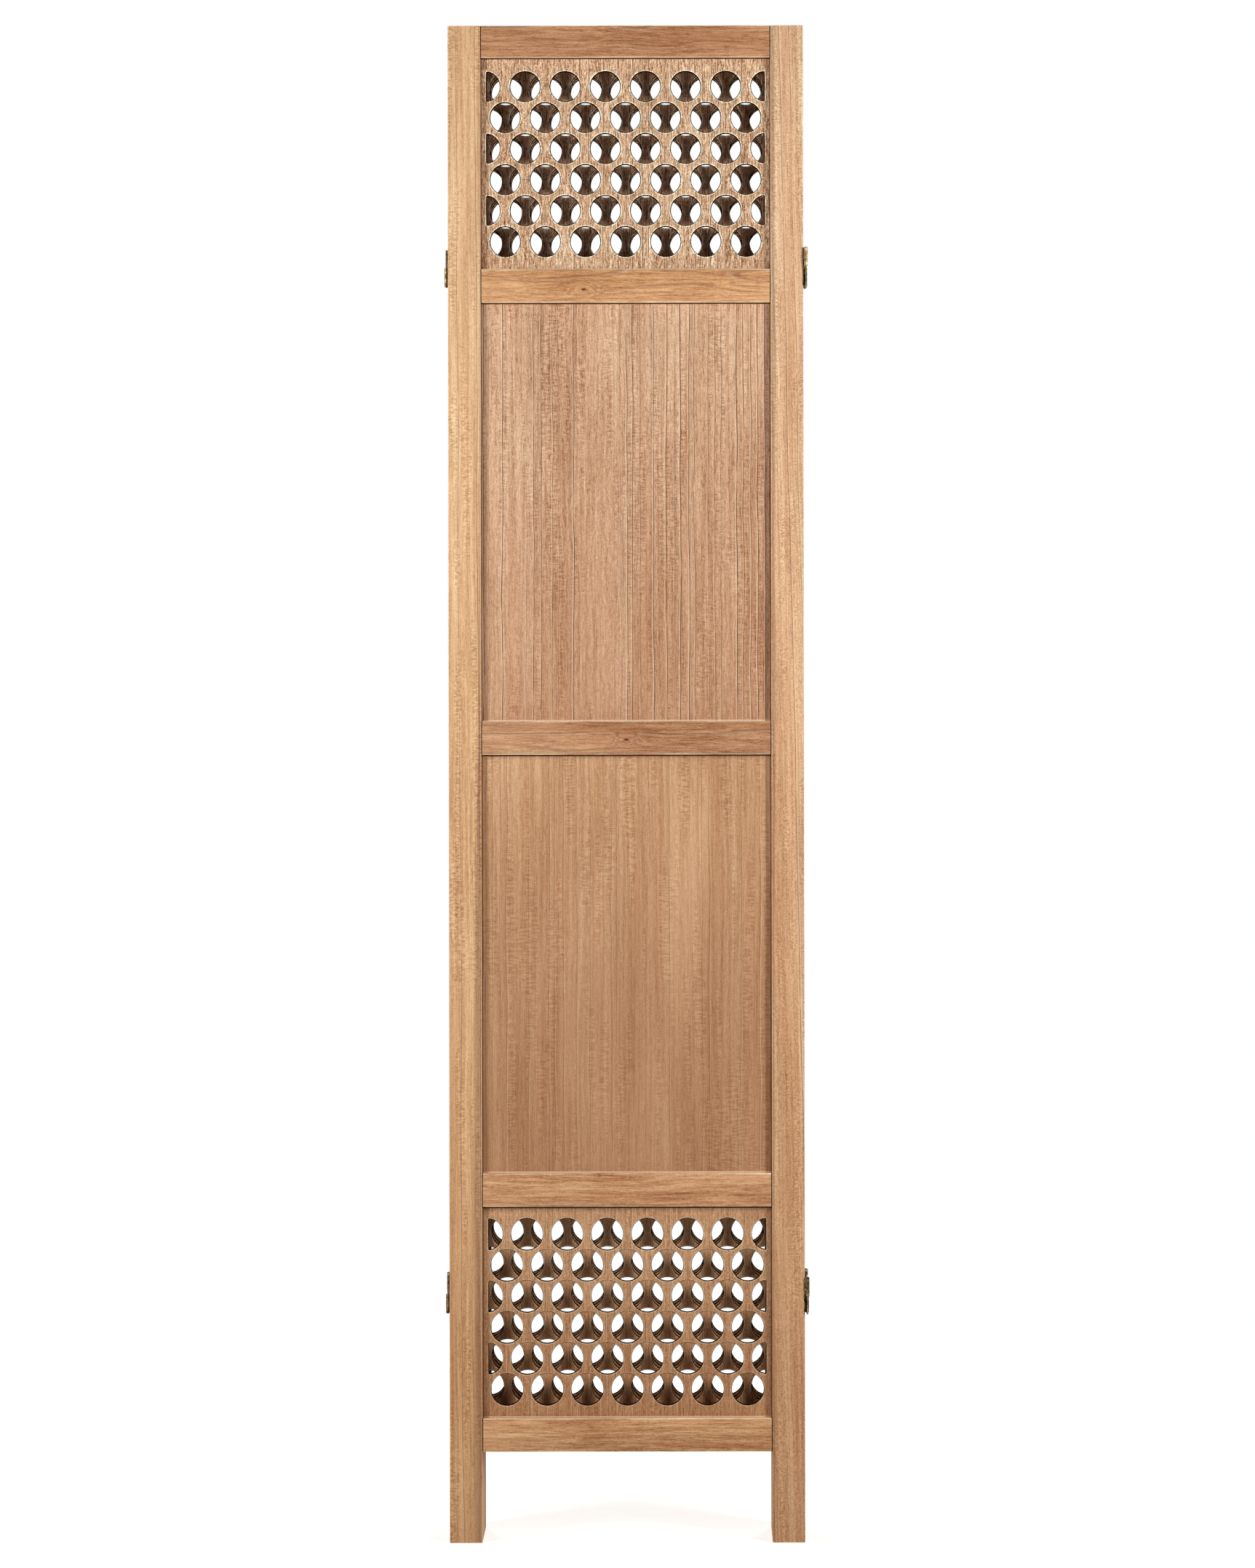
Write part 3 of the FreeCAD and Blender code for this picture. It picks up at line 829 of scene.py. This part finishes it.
class JALI_SCREEN_OT_stiles(bpy.types.Operator):
    """Make the eight stiles, which run the full height and end below as the legs"""

    bl_idname = "jali_screen.stiles"
    bl_label = "Stiles"

    def execute(self, context):
        sizes, colours = context.scene.screen_sizes, context.scene.screen_wood
        for panel in PANELS:
            for side in SIDES:
                node = f"panel_{panel}_{side}_stile"
                piece = make_stile(panel, side)
                inner_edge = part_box(node)[1 if side == "left" else 0].x
                look = LEFT_STILE if side == "left" else RIGHT_STILE
                shade = getattr(colours, f"{side}_stile")
                dress(piece, *wood_finishes(node, look, "Z", shade, inner_edge=inner_edge))
                ease_edges(piece, sizes.stile_ease)
                stand_for(piece, node, f"panel_{panel}")
        return {"FINISHED"}


def make_rail(panel, rail):
    """A rail with its tongues, and a groove for each board that it holds."""
    sizes = bpy.context.scene.screen_sizes
    node = f"panel_{panel}_{rail}_rail"
    low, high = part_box(node)
    tongue = sizes.tongue_length
    board_low, board_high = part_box(f"panel_{panel}_upper_board")
    groove_low, groove_high = board_low.y - sizes.board_play, board_high.y + sizes.board_play
    piece = bar(f"{node}_wood", (low.x + tongue, low.y, low.z), (high.x - tongue, high.y, high.z))
    foot = low.z + (sizes.groove_stop if rail == "bottom" else 0)
    top = high.z - (sizes.groove_stop if rail == "top" else 0)
    cut(piece, bar("tongues", (low.x, groove_low, foot), (high.x, groove_high, top)), "UNION")
    depth = sizes.groove_depth
    grooved_edges = ([] if rail == "bottom" else [low.z]) + ([] if rail == "top" else [high.z])
    cutters = [
        bar("groove", (low.x - depth, groove_low, edge - depth), (high.x + depth, groove_high, edge + depth))
        for edge in grooved_edges
    ]
    cut(piece, join_cutters(cutters))
    return piece


# How far a rail's eased edge looks sideways at its end, and how squarely a jali board's face looks forward or
# back, if it is flat or a rim
RAIL_END_TURN = 0.3
JALI_FLAT_TURN = 0.99
JALI_RIM_TURN = 0.85


def sort_rail_faces(piece):
    """Gives the eased ends of a rail, which meet the stiles, the finish of a dark joint."""
    for face in piece.data.polygons:
        if face.material_index == EASED_FINISH and abs(face.normal.x) > RAIL_END_TURN:
            face.material_index = DARK_FINISH


class JALI_SCREEN_OT_rails(bpy.types.Operator):
    """Make the twenty rails, five to a panel, with their tongues and grooves"""

    bl_idname = "jali_screen.rails"
    bl_label = "Rails"

    def execute(self, context):
        sizes, colours = context.scene.screen_sizes, context.scene.screen_wood
        joint = dark_wall_and_shade("rail_joint", colours)
        for rail in RAILS:
            first = make_rail(FRONT_PANEL, rail)
            ease_edges(first, sizes.rail_ease)
            sort_rail_faces(first)
            first_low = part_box(f"panel_{FRONT_PANEL}_{rail}_rail")[0]
            shade = getattr(colours, f"{rail}_rail")
            look = LOW_RAIL if rail in ("lower", "bottom") else RAIL
            for panel in PANELS:
                node = f"panel_{panel}_{rail}_rail"
                piece = first
                if panel != FRONT_PANEL:
                    piece = copy_of(first, f"{node}_wood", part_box(node)[0] - first_low)
                finishes = wood_finishes(node, look, "X", shade, knot=PIN_KNOTS.get(node))
                dress(piece, *finishes, joint)
                stand_for(piece, node, f"panel_{panel}")
        return {"FINISHED"}


class JALI_SCREEN_OT_plain_boards(bpy.types.Operator):
    """Finish the eight plain boards, whose shape the frame already holds"""

    bl_idname = "jali_screen.plain_boards"
    bl_label = "Plain boards"

    def execute(self, context):
        colours = context.scene.screen_wood
        for panel in PANELS:
            for board in PLAIN_BOARDS:
                node = f"panel_{panel}_{board}_board"
                shade = getattr(colours, f"{board}_board")
                opening = opening_of(panel, f"{board}_board")
                look = UPPER_BOARD if board == "upper" else LOWER_BOARD
                dress(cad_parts[node], *wood_finishes(node, look, "Z", shade, opening=opening))
        return {"FINISHED"}


def hole_cutter(place, hole, sides, depth):
    """A round cutter that goes through a board at a hole's place."""
    clear_selection()
    bpy.ops.mesh.primitive_cylinder_add(
        vertices=sides, radius=hole / 2, depth=depth, location=place, rotation=(math.pi / 2, 0, 0)
    )
    cutter = bpy.context.object
    settle(cutter)
    return cutter


# How much farther back than sideways an edge through a board goes, how near the corner of a cut-off hole an
# edge is on it or in its way, in shares of its radius, and how many boards thick a cutter is
THROUGH_RATIO = 10
ON_CORNER_SHARE = 0.1
NEAR_CORNER_SHARE = 1.2
CUTTER_THICKNESSES = 3


def pick_upright_lines(cutter, test):
    """Selects the cutter's edges that run through the board and pass a test of their place."""
    mesh = cutter.data
    for part in (*mesh.vertices, *mesh.polygons):
        part.select = False
    for edge in mesh.edges:
        start, end = [mesh.vertices[index].co for index in edge.vertices]
        sideways = abs(start.x - end.x) + abs(start.z - end.z)
        through = abs(start.y - end.y) > THROUGH_RATIO * sideways
        edge.select = through and test(start)


def cut_off_cutter(place, hole, line, side, sizes, depth):
    """A round cutter sawn off at an upright line, with its two new corners rounded."""
    cutter = hole_cutter(place, hole, sizes.hole_sides, depth)
    pick(cutter)
    bpy.ops.object.mode_set(mode="EDIT")
    bpy.ops.mesh.select_mode(type="EDGE")
    bpy.ops.mesh.select_all(action="SELECT")
    bpy.ops.mesh.bisect(
        plane_co=(line, place.y, place.z), plane_no=(side, 0, 0), use_fill=True, clear_outer=True
    )
    bpy.ops.object.mode_set(mode="OBJECT")
    corner_rise = math.sqrt((hole / 2) ** 2 - (line - place.x) ** 2)
    tolerance = ON_CORNER_SHARE * sizes.cut_corner

    def near_corner(point):
        rise = abs(point.z - place.z) - corner_rise
        return tolerance < math.hypot(point.x - line, rise) < NEAR_CORNER_SHARE * sizes.cut_corner

    pick_upright_lines(cutter, near_corner)
    bpy.ops.object.mode_set(mode="EDIT")
    bpy.ops.mesh.dissolve_edges(use_verts=True)
    bpy.ops.object.mode_set(mode="OBJECT")
    pick_upright_lines(cutter, lambda point: abs(point.x - line) < tolerance)
    bpy.ops.object.mode_set(mode="EDIT")
    bpy.ops.mesh.bevel(offset=sizes.cut_corner, offset_type="OFFSET", segments=3, affect="EDGES")
    bpy.ops.object.mode_set(mode="OBJECT")
    return cutter


def hole_places(sizes, width, height, wide_row):
    """The middle of each hole, from the middle of its board. Every second row has one hole more."""
    column_pitch, row_pitch = sizes.column_pitch, sizes.row_pitch
    columns = int((width - 2 * sizes.side_margin - sizes.hole) / column_pitch) + 1
    rows = int((height - 2 * sizes.end_margin - sizes.hole) / row_pitch) + 1
    places = []
    for row in range(rows):
        count = columns + 1 if row % 2 == wide_row else columns
        z = (row - (rows - 1) / 2) * row_pitch
        for column in range(count):
            places.append(((column - (count - 1) / 2) * column_pitch, z))
    return places


def make_jali(panel, jali, wide_row, hole):
    """A board with its round holes cut through."""
    sizes = bpy.context.scene.screen_sizes
    node = f"panel_{panel}_{jali}_jali"
    low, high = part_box(node)
    left, right, below, above = opening_of(panel, f"{jali}_jali")
    middle = Vector(((left + right) / 2, (low.y + high.y) / 2, (below + above) / 2))
    depth = CUTTER_THICKNESSES * (high.y - low.y)
    line = (right - left) / 2 - sizes.side_margin
    cutters = []
    for x, z in hole_places(sizes, right - left, above - below, wide_row):
        place = middle + Vector((x, 0, z))
        if abs(x) + hole / 2 > line:
            side = math.copysign(1, x)
            cutters.append(cut_off_cutter(place, hole, middle.x + side * line, side, sizes, depth))
        else:
            cutters.append(hole_cutter(place, hole, sizes.hole_sides, depth))
    piece = bar(f"{node}_wood", low, high)
    cut(piece, join_cutters(cutters))
    return piece


def sort_jali_faces(piece):
    """Gives each face of a jali board its finish: the flat wood, the pale rim with its painted highlight, or
    the dark wall, which takes painted shade together with the inner band of the rim.
    """
    for face in piece.data.polygons:
        turn = abs(face.normal.y)
        if turn > JALI_FLAT_TURN:
            face.material_index = FLAT_FINISH
        elif turn > JALI_RIM_TURN:
            face.material_index = EASED_FINISH
        else:
            face.material_index = DARK_FINISH


class JALI_SCREEN_OT_jali_boards(bpy.types.Operator):
    """Cut the eight jali boards, with round holes in rows that stand half a hole apart"""

    bl_idname = "jali_screen.jali_boards"
    bl_label = "Jali boards"

    def execute(self, context):
        sizes, colours = context.scene.screen_sizes, context.scene.screen_wood
        # Hole walls and the inner band of each rim, dark as painted shade
        wall = dark_wall_and_shade("jali_hole_wall", colours)
        patterns = {}
        for panel in PANELS:
            for jali in JALIS:
                node = f"panel_{panel}_{jali}_jali"
                wide_row = 1 if panel == FRONT_PANEL else 0
                hole, rim_ease = sizes.hole, sizes.rim_ease
                shade = getattr(colours, f"{jali}_jali")
                look = JALI_BOARD if jali == "top" else LOW_JALI_BOARD
                if jali == "top" and panel == FRONT_PANEL:
                    hole, rim_ease = sizes.front_hole, sizes.front_rim_ease
                # Painted shade on top boards behind the front panel: a darker, redder colour and less pale
                # rims
                elif jali == "top":
                    shade, look = colours.rear_jali, SHADED_REAR_JALI_BOARD
                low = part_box(node)[0]
                if (wide_row, hole) in patterns:
                    first, first_low = patterns[wide_row, hole]
                    piece = copy_of(first, f"{node}_wood", low - first_low)
                else:
                    piece = make_jali(panel, jali, wide_row, hole)
                    ease_edges(piece, rim_ease, segments=3)
                    sort_jali_faces(piece)
                    patterns[wide_row, hole] = (piece, low)
                opening = opening_of(panel, f"{jali}_jali")
                dress(piece, *wood_finishes(node, look, "Z", shade, opening=opening), wall)
                stand_for(piece, node, f"panel_{panel}")
        return {"FINISHED"}


class JALI_SCREEN_OT_hinges(bpy.types.Operator):
    """Finish the brass leaves, links, pins and screws"""

    bl_idname = "jali_screen.hinges"
    bl_label = "Hinges"

    def execute(self, context):
        metal = brass("hinge_brass", context.scene.screen_wood)
        for name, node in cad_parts.items():
            if name.startswith("hinge") or name.endswith(("leaves", "screws")):
                dress(node, metal)
        return {"FINISHED"}


# Studio

FARTHEST_SEEN = 100


def point_at(thing, target):
    thing.rotation_euler = (Vector(target) - thing.location).to_track_quat("-Z", "Y").to_euler()


def area_lamp(name, place, target, size, lamp_power):
    """A soft rectangular lamp, turned towards a point."""
    lamp = bpy.data.lights.new(name, "AREA")
    lamp.shape = "RECTANGLE"
    lamp.size, lamp.size_y = size
    lamp.energy = lamp_power
    holder = bpy.data.objects.new(name, lamp)
    holder.location = place
    point_at(holder, target)
    bpy.context.collection.objects.link(holder)


def seen_directly(finish):
    """1 for what the camera, a gloss or a clear thing sees, and 0 for light that only falls on things."""
    path = finish.add("ShaderNodeLightPath")
    seen = finish.math("ADD", path.outputs["Is Camera Ray"], path.outputs["Is Glossy Ray"])
    return finish.math("ADD", seen, path.outputs["Is Transmission Ray"], clamp=True)


def floor_finish(studio):
    """Pale floor that keeps the shadow near the screen and fades to the room's white farther out."""
    finish = Finish(bpy.data.materials.new("studio_floor"))
    matt = finish.add("ShaderNodeBsdfDiffuse", Color=studio.floor)
    seen = seen_directly(finish)
    glowing = finish.math("MULTIPLY", seen, studio.floor_glow)
    glow = finish.add("ShaderNodeEmission", Color=WHITE, Strength=glowing)
    near = finish.add("ShaderNodeAddShader")
    finish.feed(near.inputs[0], matt.outputs["BSDF"])
    finish.feed(near.inputs[1], glow.outputs["Emission"])
    far = finish.add("ShaderNodeEmission", Color=WHITE)
    from_middle = finish.vector("LENGTH", finish.place())
    away = finish.step(from_middle, studio.shadow_start, studio.shadow_reach)
    both = finish.add("ShaderNodeMixShader", Fac=finish.math("MULTIPLY", away, seen))
    finish.feed(both.inputs[1], near.outputs["Shader"])
    finish.feed(both.inputs[2], far.outputs["Emission"])
    finish.feed(finish.output.inputs["Surface"], both.outputs["Shader"])
    return finish.owner


def light_room(room_light):
    """An even white room, at full white where it is seen."""
    world = bpy.data.worlds.new("studio_room")
    bpy.context.scene.world = world
    room = Finish(world, "ShaderNodeOutputWorld")
    level = room.math("MULTIPLY_ADD", seen_directly(room), 1.0 - room_light, room_light)
    room.end_with("ShaderNodeBackground", Color=WHITE, Strength=level)


class JALI_SCREEN_OT_stage(bpy.types.Operator):
    """Set up the floor, the lamps and the camera of the photograph"""

    bl_idname = "jali_screen.stage"
    bl_label = "Studio"

    def execute(self, context):
        studio = context.scene.screen_studio
        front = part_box("panel_1_left_stile")[0]
        right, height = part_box("panel_1_right_stile")[1].x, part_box("panel_1_right_stile")[1].z

        clear_selection()
        bpy.ops.mesh.primitive_plane_add(size=studio.floor_size)
        floor = bpy.context.object
        floor.name = "studio_floor"
        dress(floor, floor_finish(studio))

        px_per_metre = (PANEL_RIGHT_PX - PANEL_LEFT_PX) / (right - front.x)
        camera = bpy.data.cameras.new("photo_camera")
        camera.sensor_fit = "VERTICAL"
        camera.sensor_height = SENSOR_HEIGHT_MM
        focal_px = px_per_metre * studio.camera_distance
        camera.lens = focal_px * SENSOR_HEIGHT_MM / PHOTO_HEIGHT_PX
        camera.shift_x = -(AXIS_X_PX - PHOTO_WIDTH_PX / 2) / PHOTO_HEIGHT_PX
        camera.shift_y = (AXIS_Y_PX - PHOTO_HEIGHT_PX / 2) / PHOTO_HEIGHT_PX
        camera.clip_end = FARTHEST_SEEN
        holder = bpy.data.objects.new("photo_camera", camera)
        holder.location = (
            front.x + (AXIS_X_PX - PANEL_LEFT_PX) / px_per_metre,
            front.y - studio.camera_distance,
            height - (AXIS_Y_PX - PANEL_TOP_PX) / px_per_metre,
        )
        holder.rotation_euler = (math.pi / 2, studio.camera_roll, 0)
        context.collection.objects.link(holder)
        context.scene.camera = holder

        lamp_size = (studio.lamp_width, studio.lamp_length)
        target = (0, 0, studio.lamp_height)
        lamps = (("right_lamp", 1, studio.right_power), ("left_lamp", -1, studio.left_power))
        for name, side, lamp_power in lamps:
            before = (side * studio.lamp_side, -studio.lamp_front, studio.lamp_height)
            behind = (side * studio.rear_side, studio.rear_back, studio.lamp_height)
            area_lamp(name, before, target, lamp_size, lamp_power)
            area_lamp(f"rear_{name}", behind, target, lamp_size, studio.rear_power)
        top_size = (studio.top_lamp_width, studio.top_lamp_depth)
        area_lamp("top_lamp", (0, 0, studio.top_height), (0, 0, 0), top_size, studio.top_power)
        light_room(studio.room_light)
        context.scene.view_settings.view_transform = "Standard"
        return {"FINISHED"}


class JALI_SCREEN_PT_panel(bpy.types.Panel):
    """The steps that make the screen, and the sizes and colours that they use"""

    bl_idname = "JALI_SCREEN_PT_panel"
    bl_label = "Jali screen"
    bl_space_type = "VIEW_3D"
    bl_region_type = "UI"
    bl_category = "Jali screen"

    def draw(self, context):
        for operator in OPERATORS:
            self.layout.operator(operator.bl_idname)
        for group, kind in SETTINGS.items():
            box = self.layout.box()
            for name in kind.__annotations__:
                box.prop(getattr(context.scene, group), name)


OPERATORS = (
    JALI_SCREEN_OT_stage,
    JALI_SCREEN_OT_stiles,
    JALI_SCREEN_OT_rails,
    JALI_SCREEN_OT_plain_boards,
    JALI_SCREEN_OT_jali_boards,
    JALI_SCREEN_OT_hinges,
)
SETTINGS = {"screen_sizes": JaliSizes, "screen_wood": WoodColours, "screen_studio": StudioSettings}
CLASSES = (*SETTINGS.values(), *OPERATORS, JALI_SCREEN_PT_panel)


def register():
    for cls in CLASSES:
        bpy.utils.register_class(cls)
    for group, kind in SETTINGS.items():
        setattr(bpy.types.Scene, group, PointerProperty(type=kind))


def unregister():
    for group in SETTINGS:
        delattr(bpy.types.Scene, group)
    for cls in reversed(CLASSES):
        bpy.utils.unregister_class(cls)


def main():
    register()
    for operator in OPERATORS:
        group, step = operator.bl_idname.split(".")
        getattr(getattr(bpy.ops, group), step)()


if __name__ == "__main__":
    main()
